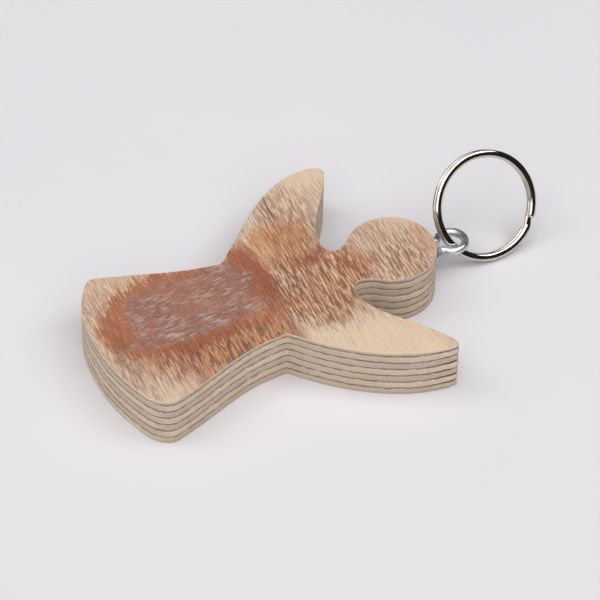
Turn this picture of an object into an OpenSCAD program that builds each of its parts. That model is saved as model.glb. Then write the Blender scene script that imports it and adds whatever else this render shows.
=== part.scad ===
// Angel keychain, sawn from a seven-ply board, with a screw eye in the head and a split ring.
// The angel lies on its back: +Z is up from the back face and +Y runs from hem to head.
// The origin is on the back face, on the centre line. All sizes are in millimetres.

/* [Board] */
// Thickness of the worn face veneer
face_t = 0.9; // [0.6:0.05:1.2]
// Thickness of each core veneer
core_t = 1.85; // [1.7:0.05:2]
// Thickness of the back veneer
back_t = 1.75; // [1.5:0.05:2]
// Thickness of each glue film between two veneers
glue_t = 0.1; // [0.05:0.01:0.15]

/* [Angel outline] */
// Distance from the origin down to the middle of the hem
skirt_len = 44.6; // [42:0.2:47]
// Width across the two corners of the hem
hem_w = 41; // [38:0.5:44]
// Width of the waist, where the skirt meets the wings
waist_w = 25.8; // [24:0.2:28]
// Width of the neck
neck_w = 10.7; // [9:0.1:12]
// Reach of the right wing from the centre line
right_wing = 32.6; // [30:0.2:35]
// Reach of the left wing, which is cut a little shorter and blunter
left_wing = 30.9; // [29:0.2:33]
// Radius of the head
head_r = 10; // [9:0.1:11]
// Centre of the head, from the origin
head_y = 25.8; // [25:0.1:27]

/* [Screw eye] */
// Diameter of the wire
eye_wire_d = 1.9; // [1.6:0.05:2]
// Radius of the eye, to the middle of the wire
eye_r = 3.2; // [3.2:0.05:3.6]
// Centre of the eye beyond the top of the head
eye_reach = 6; // [5.5:0.1:7]
// Distance of the eye's centre to the left of its shank
eye_offset = 1.6; // [1.2:0.05:2]
// Turn of the eye about its shank, in degrees
eye_turn = -3; // [-6:0.5:0]
// Outside diameter of the thread
thread_d = 2.5; // [2.2:0.1:2.8]
// Thread pitch
thread_pitch = 1; // [0.8:0.1:1.2]
// Length of the shank inside the wood
shank_depth = 10; // [7:0.5:14]

/* [Split ring] */
// Outside diameter of the ring
ring_d = 25; // [24:0.5:28]
// Width of the flattened wire, across the ring
ring_wire_w = 1.7; // [1.5:0.05:1.8]
// Thickness of the wire, along the ring's axis
ring_wire_t = 1.05; // [0.9:0.05:1.1]
// Lean of the ring from upright, in degrees
ring_lean = 33; // [30:0.5:36]
// Angle round the ring where the wire starts to cross from turn to turn
crossing_start = 316; // [300:1:320]
// Angle that the crossing takes
crossing_span = 12; // [10:1:24]

/* [Hidden] */

// Heights of the layers, from the back face up
cores = 5;
layer_step = core_t + glue_t;
board_t = back_t + cores * layer_step + glue_t + face_t;
mid_z = board_t / 2;

// Corners of the outline as [x, y, heading in degrees], counter-clockwise from the hem
neck_side = 39;
right_side = [
    [0, -skirt_len, 0],
    [hem_w / 2 - 4.9, -skirt_len + 3, 20],
    [hem_w / 2 - 0.3, -skirt_len + 9, 103],
    [waist_w / 2 + 0.2, -9.1, 91],
    [waist_w / 2 + 0.5, -6, 38],
    [right_wing - 0.1, 22.3, 80],
    [right_wing - 1, 25.3, 178],
    [right_wing - 4.4, 24, 210],
    [neck_w / 2 + 5.2, 12.6, 195],
    [neck_w / 2 + 0.4, 15.2, 85],
    [head_r * cos(neck_side), head_y - head_r * sin(neck_side), 90 - neck_side]
];
left_side = [
    [-head_r * cos(neck_side), head_y - head_r * sin(neck_side), 270 + neck_side],
    [-neck_w / 2 + 0.4, 14.6, 269],
    [-neck_w / 2 - 2.8, 12.6, 177],
    [-left_wing + 2.9, 23.7, 158],
    [-left_wing, 20, 269],
    [-waist_w / 2 - 1.9, -6.9, 310],
    [-waist_w / 2 + 0.4, -10.5, 262],
    [-hem_w / 2, -skirt_len + 8.3, 253],
    [-hem_w / 2 + 3.9, -skirt_len + 3.6, 326],
    [0, -skirt_len, 360]
];
curve_steps = 8;
head_steps = 44;

// Screw eye: the neck bends out of the shank's line and runs into the eye
eye_y = head_y + head_r + eye_reach;
neck_turn = 46;
eye_end = 254;
neck_r = (eye_r * cos(neck_turn) - eye_offset) / (1 - cos(neck_turn));
neck_y = eye_y - eye_r * sin(neck_turn) - neck_r * sin(neck_turn);
shank_end = head_y + head_r - shank_depth;
shank_tip = 1.6;
thread_stop = head_y + head_r + 2.4;
thread_ridge = 0.3;
crest_flat = 0.1;
crest_rise = 0.4;
crest_fall = 0.25;
shank_lap = 0.4;
neck_lap = 0.2;
tip_share = 0.35;
hole_clearance = 0.01;

// Split ring: two turns of one wire, side by side, that a short crossing joins
turn_gap = 0.06;
turn_z = (ring_wire_t + turn_gap) / 2;
ring_r = (ring_d - ring_wire_w) / 2;
wire_flat = (ring_wire_w - ring_wire_t) / 2;
turn_angle = 360 - crossing_span - 1;
table_gap = 0.02;
ring_x = -eye_offset - 2.55;
ring_y = eye_y + 9.8;
ring_z = table_gap + (ring_r + wire_flat) * cos(ring_lean) + turn_z * sin(ring_lean)
    + ring_wire_t / 2;
crossing_steps = 10;
crossing_skin = 0.04;
crossing_lap = 2;
round_steps = 8;
wire_sides = 20;
neck_steps = 8;
loop_steps = 52;

// Turn from heading a to heading b, from -180 to 180
function turn(a, b) = (b - a + 540) % 360 - 180;

// Handle length that makes a cubic curve between two corners close to an arc
function handle(a, b) =
    norm([b[0] - a[0], b[1] - a[1]]) / (3 * pow(cos(turn(a[2], b[2]) / 4), 2));

function ahead(p, len) = [p[0] + len * cos(p[2]), p[1] + len * sin(p[2])];

function cubic(p, q, r, s, t) =
    pow(1 - t, 3) * p + 3 * pow(1 - t, 2) * t * q + 3 * (1 - t) * t * t * r + pow(t, 3) * s;

// Points of the curve from corner a up to corner b
function curve(a, b) = [
    for (i = [0:curve_steps - 1])
        cubic(ahead(a, 0), ahead(a, handle(a, b)), ahead(b, -handle(a, b)), ahead(b, 0),
            i / curve_steps)
];

function side(corners) = [
    for (i = [0:len(corners) - 2])
        each curve(corners[i], corners[i + 1])
];

head = [
    for (i = [0:head_steps - 1])
        let (a = -neck_side + i * (180 + 2 * neck_side) / head_steps)
            [head_r * cos(a), head_y + head_r * sin(a)]
];

// Height of the bottom of core veneer n, counted down from the face
function core_z(n) = back_t + glue_t + (cores - n) * layer_step;

// Height of the bottom of glue line n, counted down from the face
function glue_z(n) = n > cores ? back_t : core_z(n) + core_t;

module angel_outline() {
    polygon(concat(side(right_side), head, side(left_side)));
}

// One layer of the board, with the hole that the screw eye has cut for itself
module layer(z, t) {
    difference() {
        translate([0, 0, z])
            linear_extrude(t)
                angel_outline();
        if (z < mid_z + thread_d / 2 && z + t > mid_z - thread_d / 2)
            shank(hole_clearance);
    }
}

module face_veneer() {
    color("peru")
        layer(board_t - face_t, face_t);
}

module core_veneer(n) {
    color("tan")
        layer(core_z(n), core_t);
}

module back_veneer() {
    color("tan")
        layer(0, back_t);
}

module glue_line(n) {
    color("saddlebrown")
        layer(glue_z(n), glue_t);
}

// Threaded shank along +Y, grown all round by the clearance
module shank(grow = 0) {
    core_r = eye_wire_d / 2 - thread_ridge / 2 + grow;
    crest_r = thread_d / 2 + grow;
    crests = floor((thread_stop - shank_end - shank_tip) / thread_pitch);
    translate([0, 0, mid_z])
        rotate([-90, 0, 0])
            rotate_extrude($fn = 48)
                polygon(concat(
                    [[0, shank_end - grow], [core_r * tip_share, shank_end - grow]],
                    [[core_r, shank_end + shank_tip]],
                    [
                        for (i = [1:crests])
                            let (
                                low = thread_stop - (crests - i) * thread_pitch - crest_flat / 2,
                                high = low + crest_flat
                            )
                                each [[core_r, low - crest_rise], [crest_r, low],
                                    [crest_r, high], [core_r, high + crest_fall]]
                    ],
                    [[core_r, thread_stop + shank_lap], [0, thread_stop + shank_lap]]));
}

// Wire that follows a path of [x, y, z, heading], with its section across the heading
module bent_wire(path, section) {
    k = len(section);
    last = len(path) - 1;
    points = [
        for (p = path, q = section)
            [p[0] + q[0] * sin(p[3]), p[1] - q[0] * cos(p[3]), p[2] + q[1]]
    ];
    ends = [[for (j = [k - 1:-1:0]) j], [for (j = [0:k - 1]) last * k + j]];
    walls = [
        for (i = [0:last - 1], j = [0:k - 1])
            let (a = i * k + j, b = i * k + (j + 1) % k)
                each [[a, b, a + k], [b, b + k, a + k]]
    ];
    polyhedron(points, concat(ends, walls));
}

// Path along an arc, from angle a to angle b about a centre; it turns left when b > a
function arc_path(x, y, r, a, b, z, steps) = [
    for (i = [0:steps])
        let (t = a + (b - a) * i / steps)
            [x + r * cos(t), y + r * sin(t), z, b > a ? t + 90 : t - 90]
];

// The bent wire outside the wood, in the plane of the eye
module eye_wire() {
    round_section = [
        for (i = [0:wire_sides - 1])
            eye_wire_d / 2 * [cos(i * 360 / wire_sides), sin(i * 360 / wire_sides)]
    ];
    neck = arc_path(neck_r, neck_y, neck_r, 180, 180 - neck_turn, 0, neck_steps);
    loop = arc_path(-eye_offset, eye_y, eye_r, -neck_turn, eye_end, 0, loop_steps);
    bent_wire(
        concat(
            [[0, neck_y - neck_lap, 0, 90]],
            [for (i = [0:neck_steps - 1]) neck[i]],
            loop
        ),
        round_section
    );
}

module screw_eye() {
    color("lightsteelblue") {
        shank();
        translate([0, 0, mid_z])
            rotate([0, eye_turn, 0])
                eye_wire();
    }
}

module wire_section() {
    square([2 * wire_flat, ring_wire_t], center = true);
    for (s = [-1, 1])
        translate([s * wire_flat, 0])
            circle(d = ring_wire_t, $fn = 48);
}

// One turn of the ring, from angle a, at height z along the ring's axis
module ring_turn(a, z) {
    translate([0, 0, z])
        rotate([0, 0, a])
            rotate_extrude(angle = turn_angle, $fn = 180)
                translate([ring_r, 0])
                    wire_section();
}

// Section of the crossing wire, a hair thinner than the turns that it runs into
crossing_section = [
    for (s = [1, -1], i = [0:round_steps])
        let (a = s * 90 - 180 + i * 180 / round_steps, r = ring_wire_t / 2 - crossing_skin)
            [s * wire_flat + r * cos(a), r * sin(a)]
];

function smooth(t) = let (u = min(max(t, 0), 1)) u * u * (3 - 2 * u);

// Crossing wire, from the near turn to the far turn
module crossing() {
    first = crossing_start - crossing_lap;
    total = crossing_span + 2 * crossing_lap;
    bent_wire(
        [
            for (i = [0:crossing_steps])
                let (a = first + total * i / crossing_steps)
                    [ring_r * cos(a), ring_r * sin(a),
                        turn_z * (1 - 2 * smooth((a - crossing_start) / crossing_span)), a + 90]
        ],
        crossing_section
    );
}

module split_ring() {
    color("silver")
        translate([ring_x, ring_y, ring_z])
            rotate([0, 90 - ring_lean, 0])
                rotate([0, 0, 90]) {
                    ring_turn(crossing_start - turn_angle, turn_z);
                    ring_turn(crossing_start + crossing_span, -turn_z);
                    crossing();
                }
}

face_veneer();
core_veneer(1);  // core_veneer_1
core_veneer(2);  // core_veneer_2
core_veneer(3);  // core_veneer_3
core_veneer(4);  // core_veneer_4
core_veneer(5);  // core_veneer_5
back_veneer();
glue_line(1);  // glue_line_1
glue_line(2);  // glue_line_2
glue_line(3);  // glue_line_3
glue_line(4);  // glue_line_4
glue_line(5);  // glue_line_5
glue_line(6);  // glue_line_6
screw_eye();
split_ring();
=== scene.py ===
"""Angel keychain: a sawn and sanded plywood angel, a screw eye and a split ring.

Sizes are in millimetres in the row frame, and become metres when a mesh or light is made.
"""

import math

import bpy
import numpy as np
from mathutils import Matrix, Vector, noise


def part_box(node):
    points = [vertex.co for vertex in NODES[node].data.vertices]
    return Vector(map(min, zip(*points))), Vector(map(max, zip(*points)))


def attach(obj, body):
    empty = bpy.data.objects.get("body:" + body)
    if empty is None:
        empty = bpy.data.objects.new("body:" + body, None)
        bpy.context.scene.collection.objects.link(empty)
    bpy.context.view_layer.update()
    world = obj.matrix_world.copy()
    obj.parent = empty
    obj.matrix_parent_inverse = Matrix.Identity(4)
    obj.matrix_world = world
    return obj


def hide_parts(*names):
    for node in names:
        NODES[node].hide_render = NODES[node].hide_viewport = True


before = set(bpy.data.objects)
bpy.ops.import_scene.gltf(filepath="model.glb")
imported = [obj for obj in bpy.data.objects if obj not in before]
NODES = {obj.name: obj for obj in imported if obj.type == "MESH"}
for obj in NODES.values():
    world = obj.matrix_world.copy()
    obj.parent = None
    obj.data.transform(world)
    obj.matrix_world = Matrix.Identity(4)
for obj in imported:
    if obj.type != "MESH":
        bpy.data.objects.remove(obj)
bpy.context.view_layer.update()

MM = 0.001

# ---------------------------------------------------------------- camera

CAMERA_AZIMUTH = 61.864
CAMERA_ELEVATION = 45.269
CAMERA_ROLL = 1.194
CAMERA_DISTANCE = 793.35
CAMERA_TARGET = Vector((-5.645, 6.397, 0))
CAMERA_LENS = 216
CAMERA_SENSOR = 36


def make_camera():
    """Camera that looks down at the keychain from beyond its hem, on its right."""
    azimuth, elevation, roll = (
        math.radians(v) for v in (CAMERA_AZIMUTH, CAMERA_ELEVATION, CAMERA_ROLL)
    )
    look = Vector(
        (
            -math.sin(azimuth) * math.cos(elevation),
            math.cos(azimuth) * math.cos(elevation),
            -math.sin(elevation),
        )
    )
    level = Vector((math.cos(azimuth), math.sin(azimuth), 0))
    upright = level.cross(look)
    right = math.cos(roll) * level + math.sin(roll) * upright
    up = math.cos(roll) * upright - math.sin(roll) * level
    data = bpy.data.cameras.new("camera")
    data.lens = CAMERA_LENS
    data.sensor_width = CAMERA_SENSOR
    data.clip_start = 0.01
    data.clip_end = 20
    camera = bpy.data.objects.new("camera", data)
    bpy.context.scene.collection.objects.link(camera)
    place = (CAMERA_TARGET - look * CAMERA_DISTANCE) * MM
    turn = Matrix((right, up, -look)).transposed().to_4x4()
    camera.matrix_world = Matrix.Translation(place) @ turn
    bpy.context.scene.camera = camera


# ---------------------------------------------------------------- meshes and node graphs


def make_object(name, points, faces, smooth=True):
    """Mesh object from points in millimetres."""
    mesh = bpy.data.meshes.new(name)
    mesh.from_pydata([Vector(p) * MM for p in points], [], faces)
    mesh.validate()
    mesh.polygons.foreach_set("use_smooth", [smooth] * len(mesh.polygons))
    mesh.update()
    piece = bpy.data.objects.new(name, mesh)
    bpy.context.scene.collection.objects.link(piece)
    return piece


def tube_faces(rings, count):
    """Faces of a closed tube: quads between its rings of count points, and a cap at each end."""
    faces = [
        (r * count + i, r * count + j, (r + 1) * count + j, (r + 1) * count + i)
        for r in range(rings - 1)
        for i, j in zip(range(count), [*range(1, count), 0])
    ]
    faces += [tuple(reversed(range(count)))]
    faces += [tuple(range((rings - 1) * count, rings * count))]
    return faces


def rgb(red, green, blue):
    """Linear colour from an 8-bit sRGB one."""

    def linear(v):
        v /= 255
        return v / 12.92 if v <= 0.04045 else ((v + 0.055) / 1.055) ** 2.4

    return (linear(red), linear(green), linear(blue), 1)


class Graph:
    """Short calls for the nodes of a new material or world. Lengths are in millimetres."""

    def __init__(self, name, library=bpy.data.materials):
        self.owner = library.new(name)
        self.owner.use_nodes = True
        self.tree = self.owner.node_tree
        self.tree.nodes.clear()
        self.millimetres = None

    def add(self, kind, **settings):
        node = self.tree.nodes.new(kind)
        for key, value in settings.items():
            setattr(node, key, value)
        return node

    def put(self, socket, value):
        if isinstance(value, bpy.types.NodeSocket):
            self.tree.links.new(value, socket)
        else:
            socket.default_value = value

    def math(self, operation, *values, clamp=False):
        node = self.add("ShaderNodeMath", operation=operation, use_clamp=clamp)
        for socket, value in zip(node.inputs, values):
            self.put(socket, value)
        return node.outputs[0]

    def vector(self, operation, a, b=None, scale=None):
        node = self.add("ShaderNodeVectorMath", operation=operation)
        self.put(node.inputs[0], a)
        if b is not None:
            self.put(node.inputs[1], b)
        if scale is not None:
            self.put(node.inputs["Scale"], scale)
        value = operation in ("LENGTH", "DOT_PRODUCT")
        return node.outputs["Value" if value else "Vector"]

    def place(self):
        """The point on the piece, in millimetres."""
        if self.millimetres is None:
            metres = self.add("ShaderNodeTexCoord").outputs["Object"]
            self.millimetres = self.vector("SCALE", metres, scale=1 / MM)
        return self.millimetres

    def add_linked(self, kind, value):
        node = self.add(kind)
        self.put(node.inputs[0], value)
        return node

    def axes(self, point):
        return self.add_linked("ShaderNodeSeparateXYZ", point).outputs

    def stretched(self, point, size, angle=0, origin=(0, 0, 0)):
        """The point measured in units of size, along axes turned by angle about Z."""
        node = self.add("ShaderNodeMapping", vector_type="TEXTURE")
        self.put(node.inputs["Vector"], point)
        self.put(node.inputs["Location"], origin)
        self.put(node.inputs["Rotation"], (0, 0, math.radians(angle)))
        self.put(node.inputs["Scale"], size)
        return node.outputs[0]

    def noise(self, point, detail=2, roughness=0.5):
        node = self.add("ShaderNodeTexNoise")
        self.put(node.inputs["Vector"], point)
        self.put(node.inputs["Scale"], 1)
        self.put(node.inputs["Detail"], detail)
        self.put(node.inputs["Roughness"], roughness)
        return node.outputs[0]

    def ease(self, value, low, high, to_low=0, to_high=1):
        """Smooth step of value from low to high; low may be above high."""
        node = self.add("ShaderNodeMapRange", interpolation_type="SMOOTHSTEP")
        if low > high:
            low, high, to_low, to_high = high, low, to_high, to_low
        for key, number in zip(
            ("Value", "From Min", "From Max", "To Min", "To Max"),
            (value, low, high, to_low, to_high),
        ):
            self.put(node.inputs[key], number)
        return node.outputs[0]

    def mix(self, factor, a, b):
        node = self.add("ShaderNodeMix", data_type="RGBA")
        self.put(node.inputs["Factor"], factor)
        self.put(node.inputs[6], a)
        self.put(node.inputs[7], b)
        return node.outputs[2]

    def blob(self, point, centre, size, soft=0.35, angle=0):
        """1 inside an ellipse and 0 outside it, with a border soft times its size."""
        near = self.stretched(point, (*size, 1000), angle, (*centre, 0))
        return self.ease(self.vector("LENGTH", near), 1 + soft, 1 - soft)

    def most(self, *values):
        result = values[0]
        for value in values[1:]:
            result = self.math("MAXIMUM", result, value)
        return result

    def times(self, *values):
        result = values[0]
        for value in values[1:]:
            result = self.math("MULTIPLY", result, value)
        return result

    def flip(self, value):
        return self.math("SUBTRACT", 1, value)

    def surface(self, colour, roughness, specular, metallic=0, height=None, relief=0):
        """The finished material. relief is how deep its height map goes."""
        shader = self.add("ShaderNodeBsdfPrincipled")
        self.put(shader.inputs["Base Color"], colour)
        self.put(shader.inputs["Roughness"], roughness)
        self.put(shader.inputs["Specular IOR Level"], specular)
        self.put(shader.inputs["Metallic"], metallic)
        if height is not None:
            bump = self.add("ShaderNodeBump")
            bump.inputs["Strength"].default_value = 1
            bump.inputs["Distance"].default_value = relief * MM
            self.put(bump.inputs["Height"], height)
            self.put(shader.inputs["Normal"], bump.outputs[0])
        out = self.add("ShaderNodeOutputMaterial")
        self.put(out.inputs["Surface"], shader.outputs[0])
        return self.owner


# ---------------------------------------------------------------- floor and light

PAPER = (rgb(219, 217, 221), rgb(223, 221, 224))


def make_floor():
    half = 2500
    corners = [(-half, -half, 0), (half, -half, 0), (half, half, 0), (-half, half, 0)]
    floor = make_object("floor", corners, [(0, 1, 2, 3)], smooth=False)
    graph = Graph("paper")
    shade = graph.noise(graph.stretched(graph.place(), (60, 60, 60)), detail=2)
    pale = graph.mix(shade, *PAPER)
    floor.data.materials.append(graph.surface(pale, roughness=0.85, specular=0.25))


# The side of the room that is dark, for the black bands in the ring
DARK_SIDE = (0.47, 0.88, 0)
ROOM_COLOUR = (1, 0.97, 0.95, 1)
ROOM_DARKEST, ROOM_BRIGHTEST = 0.02, 0.75

# Softboxes, seen from the camera: where each stands, its width and height, and its power in watts
SOFTBOXES = {
    "overhead": ((-45, 25, 1000), (800, 800), 3.8),
    "front": ((1358, -633, 1665), (2800, 1820), 31),
    "left": ((-260, -470, 700), (480, 400), 1.8),
    "right": ((280, 470, 740), (480, 400), 2.2),
}


def make_room():
    """A room that is dark, except low down and away from its dark side."""
    graph = Graph("studio", bpy.data.worlds)
    direction = graph.add("ShaderNodeTexCoord").outputs["Generated"]
    low_down = graph.ease(graph.axes(direction)[2], 0.5, 0.1)
    away = graph.ease(graph.vector("DOT_PRODUCT", direction, DARK_SIDE), 0.5, -0.1)
    background = graph.add("ShaderNodeBackground")
    strength = graph.ease(graph.times(low_down, away), 0, 1, ROOM_DARKEST, ROOM_BRIGHTEST)
    graph.put(background.inputs["Color"], ROOM_COLOUR)
    graph.put(background.inputs["Strength"], strength)
    out = graph.add_linked("ShaderNodeOutputWorld", background.outputs[0])
    out.is_active_output = True
    bpy.context.scene.world = graph.owner


def make_softbox(name, place, size, power):
    """Softbox that faces the keychain."""
    data = bpy.data.lights.new(name, "AREA")
    data.shape = "RECTANGLE"
    data.size, data.size_y = size[0] * MM, size[1] * MM
    data.energy = power
    light = bpy.data.objects.new(name, data)
    bpy.context.scene.collection.objects.link(light)
    light.location = Vector(place) * MM
    light.rotation_euler = (-Vector(place)).to_track_quat("-Z", "Y").to_euler()


def make_light():
    bpy.context.scene.view_settings.view_transform = "Standard"
    make_room()
    for name, (place, size, power) in SOFTBOXES.items():
        make_softbox(name, place, size, power)


# ---------------------------------------------------------------- worn face

GRAIN_ANGLE = -3

# Bare wood, wood under the orange stain, and wood under the rust, each light, middling and dark
BARE = (rgb(228, 205, 182), rgb(199, 169, 147), rgb(138, 99, 82))
ORANGE = (rgb(222, 178, 136), rgb(190, 134, 99), rgb(126, 76, 56))
RUST = (rgb(198, 132, 97), rgb(162, 101, 76), rgb(104, 58, 46))
CREAM = (rgb(222, 199, 172), rgb(202, 174, 146))
DASHES = (rgb(122, 74, 52), rgb(164, 96, 60))
POOLED = rgb(118, 62, 46)
RUST_PORES = rgb(190, 118, 82)
SCUFFS = rgb(112, 66, 54)
FIBRES = (rgb(204, 156, 118), rgb(166, 112, 82))
GREY_VEIL = rgb(134, 96, 86)
GREY_HAIR = rgb(168, 142, 134)
GREY_PINK = rgb(194, 174, 165)
PAINT_SPECK = rgb(190, 72, 54)
# The crack's dark line: painted shade, as the crack has no depth
CRACK_SHADE = rgb(92, 58, 44)

# Where each of these shows on the face. A zone has a strength and an ellipse: its centre, its
# size, how soft its border is, and its angle if it is turned.
ORANGE_ZONES = (
    (1, (-12.5, 4.5), (6.5, 7.5), 0.4),
    (0.9, (-6, 6), (3, 9), 0.5, -8),
    (0.7, (1, 15), (6, 5), 0.5),
    (0.6, (5.5, 5), (8.5, 9), 0.4),
    (0.5, (-2, 35), (8, 2.5), 0.5),
    (1, (-2.5, -24), (14, 19), 0.2),
    (0.6, (10.5, -20), (5, 16), 0.3),
)
RUST_ZONES = (
    (1, (-3, -24), (12.4, 17.8), 0.14),
    (0.95, (-5.5, -6), (11.5, 4.5), 0.6),
    (0.7, (6, -8), (4.5, 6), 0.4),
)
RUBBED_ZONES = (
    (1, (27.5, 13.3), (10.8, 8.5), 0.3, 40),
    (0.72, (21, 4), (8.5, 5.5), 0.3, 40),
    (0.7, (15, -2.5), (4, 3), 0.4),
    (0.75, (-29.5, 19), (3.5, 6), 0.4),
    (0.7, (-22.5, 11), (4, 2.5), 0.4),
    (0.6, (-7, 31), (4, 5), 0.4, 35),
    (0.35, (17, -39), (4, 3), 0.4),
)
MARKED_ZONES = (
    (0.85, (3, 5), (12, 11), 0.3),
    (0.72, (5, 25), (6.5, 9), 0.4),
    (0.4, (-1, 24), (9, 10), 0.3),
    (0.85, (1, 14), (8, 5), 0.3),
    (0.55, (-16, 9), (11, 7), 0.3),
    (0.35, (-1, -41), (22, 5), 0.3),
    (0.15, (-16.5, -32), (4, 9), 0.4),
    (0.8, (11, -20), (5, 18), 0.3),
    (0.35, (-3, -22), (13, 20), 0.2),
)
POOLED_ZONES = (
    (0.75, (-6, -5), (10, 3.2), 0.7),
    (0.45, (-6, 9), (1.8, 4), 0.6),
    (0.6, (2.5, -40), (7, 2.4), 0.6),
    (0.5, (7, -25), (2.5, 12), 0.6),
)
GREY_ZONES = (
    (0.8, (-6.3, -11.5), (6.3, 5), 0.3),
    (1, (2, -22.5), (3.2, 15), 0.3),
    (0.9, (-5, -30), (6.8, 5.5), 0.3),
    (0.6, (-4, -21), (8.5, 13), 0.35),
)
# Centre and radius of each speck of paint, and the crack's centre, size, softness and angle
SPECKS = (((-1.5, -31.3), 0.7), ((-10.3, -23.8), 0.6), ((-2, -17), 0.3))
CRACK_PLACE = ((-24, 7.4), (4.2, 0.2), 0.5, -6)


class Face(Graph):
    """Worn stain on the face veneer, whose grain runs across the angel."""

    def __init__(self, name):
        super().__init__(name)
        self.point = self.place()
        across_grain = self.stretched(self.point, (3, 0.7, 3), GRAIN_ANGLE)
        push = self.add_linked("ShaderNodeTexNoise", across_grain)
        for key, number in (("Scale", 1), ("Detail", 4), ("Roughness", 0.65)):
            push.inputs[key].default_value = number
        self.push = self.vector("SUBTRACT", push.outputs["Color"], (0.5, 0.5, 0.5))
        threads = self.stretched(self.point, (5, 0.45, 3), GRAIN_ANGLE, (40, 0, 0))
        self.threads = self.noise(threads, 3, 0.6)
        self.lines = self.streaks(6, 0.2, 0.4, 0.6, 3)
        self.silk = self.streaks(2.6, 0.14, 0.42, 0.58, shift=7)

        # The point pushed about along the grain or across it, so that no border is smooth
        torn = self.pushed(14, 4)
        self.rust = self.ragged(self.zones(torn, RUST_ZONES))
        self.orange = self.ragged(self.zones(torn, ORANGE_ZONES))
        self.rubbed = self.ragged(self.zones(torn, RUBBED_ZONES))
        self.marked = self.zones(torn, MARKED_ZONES)
        self.pooled = self.zones(torn, POOLED_ZONES)
        self.grey = self.zones(self.pushed(5, 14), GREY_ZONES)

        self.tones = []
        for bare, orange, rust in zip(BARE, ORANGE, RUST):
            stained = self.mix(self.orange, bare, orange)
            self.tones.append(self.mix(self.rust, stained, rust))

    def pushed(self, along, across):
        """The point pushed about by some millimetres along X and Y."""
        step = self.vector("MULTIPLY", self.push, (along, across, 0))
        return self.vector("ADD", self.point, step)

    def patches(self, size, low, high, detail=2, to_low=0, to_high=1):
        """Noise of the given size, eased from low to high."""
        cloud = self.noise(self.stretched(self.point, size), detail)
        return self.ease(cloud, low, high, to_low, to_high)

    def streaks(self, length, width, low, high, detail=2, angle=GRAIN_ANGLE, shift=0):
        """Streaks of the given size along the grain. shift gives each kind its own pattern."""
        along = self.stretched(self.point, (length, width, 3), angle, (shift, shift, 0))
        return self.ease(self.noise(along, detail, 0.55), low, high)

    def zones(self, point, rows):
        """How strongly any of the zones covers the point, from 0 to 1."""
        return self.most(*(self.times(self.blob(point, *row[1:]), row[0]) for row in rows))

    def ragged(self, mask):
        """The mask broken up into threads where it is neither 0 nor 1."""
        shift = self.math("MULTIPLY_ADD", self.threads, 1.5, -0.75)
        return self.ease(self.math("ADD", mask, shift), 0.15, 0.85)

    def wood(self):
        """Stained wood with its fine grain, and smooth where it was rubbed pale."""
        light, middling, dark = self.tones
        pencil = self.streaks(3.4, 0.17, 0.54, 0.6, 1, shift=53)
        sheen = self.streaks(5.5, 0.6, 0.52, 0.62, shift=31)
        colour = self.mix(self.lines, light, middling)
        colour = self.mix(self.times(self.silk, 0.28), colour, dark)
        colour = self.mix(self.times(pencil, self.flip(self.rust), 0.36), colour, dark)
        colour = self.mix(self.times(sheen, 0.35), colour, light)
        smooth = self.mix(self.times(self.lines, 0.45), *CREAM)
        return self.mix(self.rubbed, colour, smooth)

    def dashed(self, colour):
        """Adds brown dashes where the stain sank in. Returns the colour and the dashes."""
        small = self.streaks(3.2, 0.34, 0.5, 0.535, shift=3)
        bold = self.streaks(4.4, 0.56, 0.55, 0.575, shift=11)
        dashes = self.times(self.most(small, bold), self.marked)
        deep = self.mix(self.times(self.patches((4, 2.4, 5), 0.42, 0.6), 0.6), *DASHES)
        colour = self.mix(self.times(dashes, 0.9), colour, deep)
        return self.mix(self.times(bold, self.marked, 0.5), colour, DASHES[0]), dashes

    def soaked(self, colour):
        """Darkens the colour where the stain pooled, and mottles the rust."""
        pores = self.patches((1.2, 0.5, 3), 0.35, 0.65, 4)
        pooled = self.times(self.pooled, self.ease(pores, 0, 1, 0.4, 1))
        scuffs = self.patches((0.2, 1.2, 3), 0.5, 0.62)
        colour = self.mix(pooled, colour, POOLED)
        colour = self.mix(self.times(self.rust, pores, 0.3), colour, RUST_PORES)
        return self.mix(self.times(self.rust, scuffs, 0.35), colour, SCUFFS)

    def fibrous(self, colour):
        """Adds ragged fibres along the skirt's right side."""
        x, y, _ = self.axes(self.point)
        comb = self.streaks(4.2, 0.95, 0.49, 0.53, 2, -2, shift=17)
        beside = self.times(self.ease(x, 8, 11), self.ease(y, -35, -26), self.ease(y, -1, -5))
        fibres = self.mix(comb, self.mix(self.lines, *FIBRES), self.tones[2])
        return self.mix(self.times(beside, 0.8), colour, fibres)

    def brushed(self, colour):
        """Adds the grey patch that was brushed over the rust, along the angel."""
        brush = self.noise(self.stretched(self.point, (0.36, 3, 3), 4), 3, 0.62)
        hair = self.noise(self.stretched(self.point, (0.22, 1.4, 3), 2, (9, 9, 0)), 2, 0.6)
        clumps = self.patches((2.2, 4, 3), 0.36, 0.6, to_low=0.25)
        veil = self.times(self.grey, self.ease(brush, 0.34, 0.48, 0.35, 0.85))
        pale_hair = self.times(self.grey, self.ease(hair, 0.5, 0.62), 0.4)
        dark_hair = self.times(self.grey, self.ease(hair, 0.45, 0.36), 0.4)
        strokes = self.times(self.grey, clumps, self.ease(brush, 0.47, 0.6), 0.85)
        colour = self.mix(veil, colour, GREY_VEIL)
        colour = self.mix(pale_hair, colour, GREY_HAIR)
        colour = self.mix(dark_hair, colour, SCUFFS)
        return self.mix(strokes, colour, GREY_PINK)

    def specked(self, colour):
        """Adds small specks of red paint."""
        near = self.pushed(2.5, 2.5)
        for centre, radius in SPECKS:
            speck = self.blob(near, centre, (radius, radius), 0.7)
            colour = self.mix(self.times(speck, 0.45), colour, PAINT_SPECK)
        return colour

    def cracked(self, colour):
        """Adds one dark crack that runs in from the left wing's outer edge. The crack has no
        depth, so its dark line is painted shade.
        """
        return self.mix(self.times(self.blob(self.point, *CRACK_PLACE), 0.75), colour, CRACK_SHADE)

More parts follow.
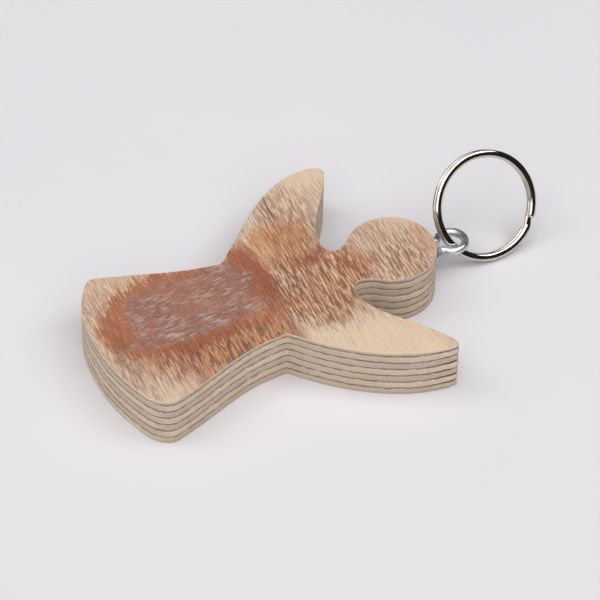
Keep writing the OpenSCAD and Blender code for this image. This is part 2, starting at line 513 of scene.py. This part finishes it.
    def painted(self):
        """Colour and height of the whole face."""
        colour, dashes = self.dashed(self.wood())
        colour = self.cracked(self.specked(self.brushed(self.fibrous(self.soaked(colour)))))
        height = self.math("ADD", self.times(self.lines, -0.4), self.times(self.silk, -0.3))
        return colour, self.math("SUBTRACT", height, self.times(dashes, 0.6))


def face_material():
    """Worn stain on top, and sawn edge where the veneer turns down."""
    graph = Face("worn_stained_veneer")
    colour, height = graph.painted()
    side, side_height = side_colour(graph, (1, 0, 0))
    up = graph.axes(graph.add("ShaderNodeNewGeometry").outputs["Normal"])[2]
    top = graph.ease(up, 0.55, 0.9)
    blended = graph.mix(top, side, colour)
    relief = graph.math("ADD", graph.times(top, height), graph.times(graph.flip(top), side_height))
    return graph.surface(blended, roughness=0.62, specular=0.28, height=relief, relief=0.05)


# ---------------------------------------------------------------- edges, glue and metal


def glue_heights():
    """Heights of the middles of the glue films, in millimetres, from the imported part."""
    names = [n for n in NODES if n.startswith("glue_line")]
    return sorted(sum(c.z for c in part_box(n)) / 2 / MM for n in names)


LONG_GRAIN = (rgb(228, 209, 189), rgb(205, 184, 164))
END_GRAIN = (rgb(212, 192, 176), rgb(184, 163, 148))
EDGE_TINT = rgb(190, 176, 146)
# Dark glue and painted shade of the gaps, for the wood beside each glue film
GLUE_AND_GAP_SHADE = rgb(106, 84, 68)
GLUE = (rgb(92, 70, 54), rgb(140, 116, 96))


def side_colour(graph, grain):
    """Sawn and sanded edge of a veneer whose grain runs along the given axis."""
    point = graph.place()
    normal = graph.add("ShaderNodeNewGeometry").outputs["Normal"]
    end = graph.math("ABSOLUTE", graph.vector("DOT_PRODUCT", normal, grain))
    end = graph.ease(end, 0.35, 0.95)
    size = (7, 0.16, 0.16) if grain[0] else (0.16, 7, 0.16)
    fibre = graph.noise(graph.stretched(point, size), detail=3, roughness=0.6)
    fleck = graph.noise(graph.stretched(point, (0.35, 0.35, 0.2)), detail=3, roughness=0.65)
    drift = graph.noise(graph.stretched(point, (14, 14, 5)), detail=2)
    long_grain = graph.mix(graph.ease(fibre, 0.35, 0.65), *LONG_GRAIN)
    end_grain = graph.mix(graph.ease(fleck, 0.35, 0.65), *END_GRAIN)
    colour = graph.mix(end, long_grain, end_grain)
    colour = graph.mix(graph.times(graph.ease(drift, 0.4, 0.7), 0.3), colour, EDGE_TINT)

    # The wood next to each glue film is darkened unevenly, partly by the dark glue and partly as
    # painted shade of the gap at the joint
    sway = graph.noise(graph.stretched(point, (1.6, 1.6, 6)), detail=3)
    z = graph.math("ADD", graph.axes(point)[2], graph.math("MULTIPLY_ADD", sway, 0.6, -0.3))
    uneven = graph.noise(graph.stretched(point, (2.2, 2.2, 0.5)), detail=3)
    reach = graph.ease(uneven, 0.3, 0.7, 0.1, 0.5)
    for height in glue_heights():
        away = graph.math("ABSOLUTE", graph.math("SUBTRACT", z, height))
        near = graph.math("SUBTRACT", 1, graph.math("DIVIDE", away, reach), clamp=True)
        colour = graph.mix(graph.times(near, 0.8), colour, GLUE_AND_GAP_SHADE)
    relief = graph.math("ADD", graph.times(fibre, graph.flip(end)), graph.times(fleck, end))
    return colour, relief


def veneer_material(name, grain):
    graph = Graph(name)
    colour, height = side_colour(graph, grain)
    return graph.surface(colour, roughness=0.75, specular=0.2, height=height, relief=0.06)


def glue_material():
    graph = Graph("glue_film")
    tone = graph.noise(graph.stretched(graph.place(), (1.5, 1.5, 0.3)), detail=3)
    colour = graph.mix(graph.ease(tone, 0.35, 0.65), *GLUE)
    return graph.surface(colour, roughness=0.7, specular=0.3, height=tone, relief=0.05)


ZINC = (rgb(214, 222, 227), rgb(184, 194, 201))
NICKEL = (rgb(220, 213, 205), rgb(202, 193, 184))
# Painted reflection of the tan wood, in shade, for the threads beside the head
SHADED_WOOD_REFLECTION = rgb(150, 146, 130)


def metal_material(name, tones, roughness, scratch, relief, reflection_below=None):
    """Plated wire with scratches. Below the given height along the angel, on the threads beside
    the head, it is rougher and less metallic, with a painted reflection of the tan wood in shade.
    """
    graph = Graph(name)
    point = graph.place()
    cloud = graph.noise(graph.stretched(point, (2.5, 2.5, 2.5)), detail=3)
    grain = graph.noise(graph.stretched(point, scratch), detail=3, roughness=0.7)
    colour = graph.mix(graph.ease(cloud, 0.35, 0.7), *tones)
    sheen = graph.math("ADD", roughness, graph.times(graph.ease(grain, 0.4, 0.7), roughness * 0.8))
    metallic = 1
    if reflection_below is not None:
        # Painted reflection of the wood in shade on the threads beside the head, with more
        # roughness and less metal
        reflected = graph.ease(graph.axes(point)[1], reflection_below + 0.3, reflection_below)
        colour = graph.mix(graph.times(reflected, 0.8), colour, SHADED_WOOD_REFLECTION)
        sheen = graph.math("ADD", sheen, graph.times(reflected, 0.3))
        metallic = graph.ease(reflected, 0, 1, 1, 0.4)
    return graph.surface(colour, sheen, 0.5, metallic, height=grain, relief=relief)


# ---------------------------------------------------------------- plywood

# Spacing of the points along an edge, and how finely the curve between two CAD points is drawn
SPACING = 0.4
CURVE_STEPS = 12
# How far the edge of a veneer falls back, and the outer edge of the board
EDGE_INSET = 0.09
ARRIS = 0.22
# The same for a glue film, and how far it lies behind the veneers
GLUE_INSET = 0.02
GLUE_RECESS = 0.12
# Extra wear at the tip of the right wing, and how far round the tip it reaches
TIP_WEAR = 6
TIP_REACH = 5
# The most of a layer's thickness that one worn edge may take, and where the edge has its rows
WORN_SHARE = 0.42
EDGE_ROWS = (0, 0.25, 0.55, 1)
# Depth of the long waves in an edge and of the saw's chatter, and the least depth of all
WAVES = 0.05
CHATTER = 0.015
LEAST_RECESS = 0.002
# Distance in the noise from one layer's pattern to the next
SEED_STEP = 7.3


def cad_outline(node):
    """Outline of a flat CAD layer, counter-clockwise, as an N x 2 array in millimetres."""
    mesh = NODES[node].data
    mesh.calc_loop_triangles()
    points = np.array([v.co for v in mesh.vertices], float) / MM
    top = points[:, 2].max()
    count = {}
    for triangle in mesh.loop_triangles:
        corners = points[list(triangle.vertices)]
        if (corners[:, 2] < top - 1e-3).any():
            continue
        keys = [tuple(np.round(c[:2], 3)) for c in corners]
        for a, b in zip(keys, keys[1:] + keys[:1]):
            count[(a, b)] = count.get((a, b), 0) + 1
    follows = {a: b for a, b in count if (b, a) not in count}
    loop = [next(iter(follows))]
    while follows[loop[-1]] != loop[0]:
        loop.append(follows[loop[-1]])
    return np.array(loop)


def resampled(loop, spacing):
    """Smooth closed curve through a loop's points, at even spacing, with its outward normals."""
    before, after, beyond = (np.roll(loop, n, axis=0) for n in (1, -1, -2))
    t = np.linspace(0, 1, CURVE_STEPS, endpoint=False)[:, None, None]
    curve = 0.5 * (
        2 * loop
        + (after - before) * t
        + (2 * before - 5 * loop + 4 * after - beyond) * t**2
        + (3 * loop - before - 3 * after + beyond) * t**3
    )
    dense = curve.transpose(1, 0, 2).reshape(-1, 2)
    closed = np.vstack([dense, dense[:1]])
    reach = np.concatenate([[0], np.cumsum(np.linalg.norm(np.diff(closed, axis=0), axis=1))])
    at = np.linspace(0, reach[-1], round(reach[-1] / spacing), endpoint=False)
    points = np.stack([np.interp(at, reach, closed[:, k]) for k in (0, 1)], axis=1)
    run = np.roll(points, -1, axis=0) - np.roll(points, 1, axis=0)
    run /= np.linalg.norm(run, axis=1)[:, None]
    return points, np.stack([run[:, 1], -run[:, 0]], axis=1)


def wobble(points, z, size, seed):
    """Smooth noise from -1 to 1 along an outline."""
    height = z / size + seed * SEED_STEP
    return np.array([noise.noise(Vector((x / size, y / size, height))) for x, y in points])


class Plywood:
    """Makes the layers of the board, all from one outline."""

    def __init__(self):
        self.points, self.normals = resampled(cad_outline("face_veneer"), SPACING)
        tip = self.points[self.points[:, 0].argmax()]
        away = np.linalg.norm(self.points - tip, axis=1)
        self.wear = 1 + TIP_WEAR * np.exp(-((away / TIP_REACH) ** 2))

    def layer(self, node, seed, recess=0.0, bottom=EDGE_INSET, top=EDGE_INSET):
        """One layer. bottom and top say how far its edge falls back there."""
        low, high = (corner.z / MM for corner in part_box(node))
        thick = high - low
        waves = 0.5 + 0.5 * wobble(self.points, seed * 3, 9, seed)
        base = recess + WAVES * waves * self.wear
        bottom, top = (np.minimum(v * self.wear, WORN_SHARE * thick) for v in (bottom, top))
        rows = [(low + f * bottom, bottom * (1 - f) ** 2) for f in EDGE_ROWS]
        rows += [(np.full(len(bottom), low + thick / 2), 0)]
        rows += [(high - f * top, top * (1 - f) ** 2) for f in reversed(EDGE_ROWS)]
        vertices = []
        for z, inset in rows:
            level = z.mean()
            ragged = 1 + 0.8 * wobble(self.points, level, 1.3, seed)
            chatter = CHATTER * wobble(self.points, level * 3, 0.5, seed + 40)
            back = np.maximum(base + inset * ragged + chatter, LEAST_RECESS)
            ring = self.points - self.normals * back[:, None]
            vertices += [(x, y, h) for (x, y), h in zip(ring, z)]
        faces = tube_faces(len(rows), len(self.points))
        piece = make_object(node + "_wood", vertices, faces)
        for cap in list(piece.data.polygons)[-2:]:
            cap.use_smooth = False
        return piece


def make_wood():
    ply = Plywood()
    across, along = (1, 0, 0), (0, 1, 0)
    grains = {
        "across": veneer_material("core_veneer_across", across),
        "along": veneer_material("core_veneer_along", along),
    }
    pieces = [("face_veneer", face_material(), "face_wood", dict(top=ARRIS))]
    for n in range(1, 6):
        grain = grains["along" if n % 2 else "across"]
        pieces.append((f"core_veneer_{n}", grain, "core_wood", {}))
    pieces.append(("back_veneer", grains["across"], "back_wood", dict(bottom=ARRIS)))
    glue = glue_material()
    thin = dict(recess=GLUE_RECESS, bottom=GLUE_INSET, top=GLUE_INSET)
    for n in range(1, 7):
        pieces.append((f"glue_line_{n}", glue, "glue", thin))
    for seed, (node, material, slot, shape) in enumerate(pieces):
        piece = ply.layer(node, seed, **shape)
        piece.data.materials.append(material)
        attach(piece, "angel")
        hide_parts(node)


# ---------------------------------------------------------------- wire work

WIRE_SIDES = 24


def loop_angles():
    """Angles round a wire, in degrees."""
    return [360 * i / WIRE_SIDES for i in range(WIRE_SIDES)]


def swept(name, centres, firsts, seconds, sections):
    """Closed tube along a path. A section's point (a, b) lies along its ring's two directions."""
    vertices = []
    for c, u, v, section in zip(centres, firsts, seconds, sections):
        vertices += [tuple(c + float(a) * u + float(b) * v) for a, b in section]
    return make_object(name, vertices, tube_faces(len(centres), WIRE_SIDES))


# The screw eye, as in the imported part
HEAD_TOP = 35.8
EYE_WIRE = 0.95
EYE_RADIUS = 3.2
EYE_X, EYE_Y = -1.6, 41.8
EYE_TURN = -3
NECK_TURN = 46
EYE_END = 254
THREAD_CREST = 1.25
THREAD_CORE = 0.8
THREAD_PITCH = 1.0
SHANK_END = 25.8
SHANK_TIP = 1.6
THREAD_STOP = HEAD_TOP + 2.4
# Half a crest's width as a share of the pitch, the point's width as a share of the core's,
# and the length over which the thread fades into the plain wire
CREST_SHARE = 0.28
POINT_SHARE = 0.35
THREAD_FADE = 0.25
# Thickness of the wire at its last sections, from the cut end back
PINCHED = (0.72, 0.9, 0.97)
SHANK_STEP = 0.08
NECK_POINTS = 14
EYE_POINTS = 110


def eye_path():
    """Points (x, y, heading) along the wire, from the shank's tip to the cut end of the eye."""
    neck_turn = math.radians(NECK_TURN)
    neck = (EYE_RADIUS * math.cos(neck_turn) + EYE_X) / (1 - math.cos(neck_turn))
    neck_y = EYE_Y - (EYE_RADIUS + neck) * math.sin(neck_turn)
    path = [(0, y, 90) for y in np.arange(SHANK_END, neck_y, SHANK_STEP)]

    def bend(x, y, radius, angles, quarter):
        for angle in angles:
            t = math.radians(angle)
            path.append((x + radius * math.cos(t), y + radius * math.sin(t), angle + quarter))

    bend(neck, neck_y, neck, np.linspace(180, 180 - NECK_TURN, NECK_POINTS), -90)
    bend(EYE_X, EYE_Y, EYE_RADIUS, np.linspace(-NECK_TURN, EYE_END, EYE_POINTS)[1:], 90)
    return path


def thread_radius(y, angle):
    """Radius of the shank at a height and an angle round it: a helix that fades at the top."""
    phase = ((y - SHANK_END) / THREAD_PITCH - angle / 360) % 1
    crest = max(0, 1 - abs(phase - 0.5) / CREST_SHARE)
    rise = min(1, max(0, (y - SHANK_END) / SHANK_TIP))
    fade = min(1, max(0, (THREAD_STOP - y) / THREAD_FADE))
    core = THREAD_CORE * (POINT_SHARE + (1 - POINT_SHARE) * rise)
    blank = EYE_WIRE + (core - EYE_WIRE) * fade
    return blank + (THREAD_CREST - THREAD_CORE) * crest * rise * fade


def make_screw_eye():
    middle = sum(c.z for c in (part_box("back_veneer")[0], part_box("face_veneer")[1])) / 2 / MM
    tilt = Matrix.Rotation(math.radians(EYE_TURN), 3, "Y")
    centres, firsts, seconds, sections = [], [], [], []
    for x, y, heading in eye_path():
        h = math.radians(heading)
        threaded = y < THREAD_STOP
        centres.append(tilt @ Vector((x, y, 0)) + Vector((0, 0, middle)))
        firsts.append(tilt @ Vector((math.sin(h), -math.cos(h), 0)))
        seconds.append(tilt @ Vector((0, 0, 1)))
        section = []
        for angle in loop_angles():
            radius = thread_radius(y, angle) if threaded else EYE_WIRE
            t = math.radians(angle)
            section.append((radius * math.cos(t), radius * math.sin(t)))
        sections.append(section)
    for back, share in enumerate(PINCHED, 1):
        sections[-back] = [(a * share, b * share) for a, b in sections[-back]]
    eye = swept("screw_eye_wire", centres, firsts, seconds, sections)
    scratch = (0.4, 0.4, 0.15)
    eye.data.materials.append(metal_material("zinc", ZINC, 0.27, scratch, 0.004, THREAD_STOP))
    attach(eye, "angel")
    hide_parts("screw_eye")


# The split ring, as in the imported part
RING_CENTRE = Vector((-4.15, 51.6, 0))
RING_OUTSIDE = 12.5
RING_WIDTH = 1.7
RING_THICK = 1.05
RING_SQUARENESS = 0.8
RING_LEAN = 33
TURN_GAP = 0.06
CROSSING_START = 316
CROSSING_SPAN = 12
TURN_ANGLE = 360 - CROSSING_SPAN - 1
TABLE_GAP = 0.02
RING_STEPS = 340
RING_END_SHARE = 0.86


def ring_section(share=1.0):
    """Flattened wire, rounded all the way round."""
    section = []
    for angle in loop_angles():
        a = math.radians(angle)
        wide, thick = (
            math.copysign(abs(v) ** RING_SQUARENESS, v) for v in (math.cos(a), math.sin(a))
        )
        section.append((wide * RING_WIDTH / 2 * share, thick * RING_THICK / 2 * share))
    return section


def make_split_ring():
    lean = math.radians(RING_LEAN)
    axis = Vector((math.cos(lean), 0, math.sin(lean)))
    across = Vector((0, 1, 0))
    upright = axis.cross(across)
    radius = RING_OUTSIDE - RING_WIDTH / 2
    half = (RING_THICK + TURN_GAP) / 2
    height = (
        TABLE_GAP
        + (radius + (RING_WIDTH - RING_THICK) / 2) * math.cos(lean)
        + half * math.sin(lean)
        + RING_THICK / 2
    )
    centre = RING_CENTRE + Vector((0, 0, height))
    first = CROSSING_START - TURN_ANGLE
    last = CROSSING_START + CROSSING_SPAN + TURN_ANGLE
    centres, firsts, seconds, sections = [], [], [], []
    for i in range(RING_STEPS + 1):
        degrees = first + (last - first) * i / RING_STEPS
        t = min(max((degrees - CROSSING_START) / CROSSING_SPAN, 0), 1)
        off = half * (1 - 2 * t * t * (3 - 2 * t))
        a = math.radians(degrees)
        out = math.cos(a) * across + math.sin(a) * upright
        centres.append(centre + radius * out + off * axis)
        firsts.append(out)
        seconds.append(axis)
        sections.append(ring_section())
    for end in (0, -1):
        sections[end] = ring_section(RING_END_SHARE)
    ring = swept("split_ring_wire", centres, firsts, seconds, sections)
    scratch = (0.6, 0.6, 0.6)
    ring.data.materials.append(metal_material("nickel", NICKEL, 0.07, scratch, 0.0005))
    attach(ring, "ring")
    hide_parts("split_ring")


make_camera()
make_floor()
make_light()
make_wood()
make_screw_eye()
make_split_ring()
